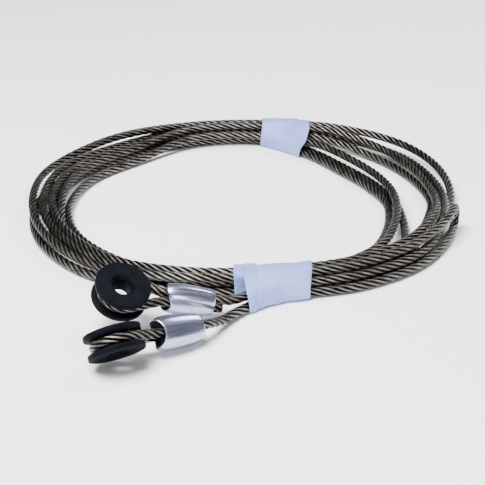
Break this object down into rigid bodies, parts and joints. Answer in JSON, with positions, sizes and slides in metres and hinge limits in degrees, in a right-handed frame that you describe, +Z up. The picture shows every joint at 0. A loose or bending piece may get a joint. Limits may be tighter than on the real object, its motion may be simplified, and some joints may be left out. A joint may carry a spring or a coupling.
{
  "type": "wire rope sling",
  "caption": "Coiled wire rope sling with a thimble eye pressed on at each end, held by tape ties; hooks or pins between a load and its lifting point.",
  "frame": {"origin": "middle of the footprint of the coiled sling, on the floor it rests on", "axes": "+Z up, the coil lies in the XY plane, both eyes at the front left (-X, -Y), front tie at -Y"},
  "size_m": [0.32, 0.4122, 0.0397],
  "materials": {
    "rope": "bright drawn wire, stranded",
    "thimble": "black coated, satin",
    "ferrule": "pressed, satin",
    "tape": "pale grey blue tape, satin"
  },
  "bodies": {
    "coil": {"rope_turn_1": "rope", "rope_turn_2": "rope", "rope_turn_3": "rope", "rope_turn_4": "rope", "rope_turn_5": "rope", "rope_turn_6": "rope", "rope_turn_7": "rope", "rope_return": "rope", "tie_front": "tape", "tie_back": "tape"},
    "lower_end": {"rope_tail_lower": "rope", "rope_eye_lower": "rope", "ferrule_lower": "ferrule"},
    "upper_end": {"rope_tail_upper": "rope", "rope_eye_upper": "rope", "ferrule_upper": "ferrule"},
    "lower_thimble": {"thimble_lower": "thimble"},
    "upper_thimble": {"thimble_upper": "thimble"}
  },
  "joints": [
    {"name": "lower_end_swing", "type": "hinge", "parent": "coil", "child": "lower_end", "pos_m": [-0.00273, -0.12175, 0.0042], "axis": [0, 0, 1], "range_deg": [-5, 20], "stiffness_Nm_per_rad": 1},
    {"name": "upper_end_lift", "type": "hinge", "parent": "coil", "child": "upper_end", "pos_m": [-0.00973, -0.11725, 0.0093], "axis": [-0.2793, 0.9602, 0], "range_deg": [0, 15], "stiffness_Nm_per_rad": 1},
    {"name": "lower_thimble_turn", "type": "hinge", "parent": "lower_end", "child": "lower_thimble", "pos_m": [-0.07583, -0.18795, 0.0174], "axis": [-0.2867, 0.5891, 0.7555], "continuous": true},
    {"name": "upper_thimble_turn", "type": "hinge", "parent": "upper_end", "child": "upper_thimble", "pos_m": [-0.07573, -0.13645, 0.025], "axis": [0.2914, -0.3957, 0.8709], "continuous": true}
  ]
}
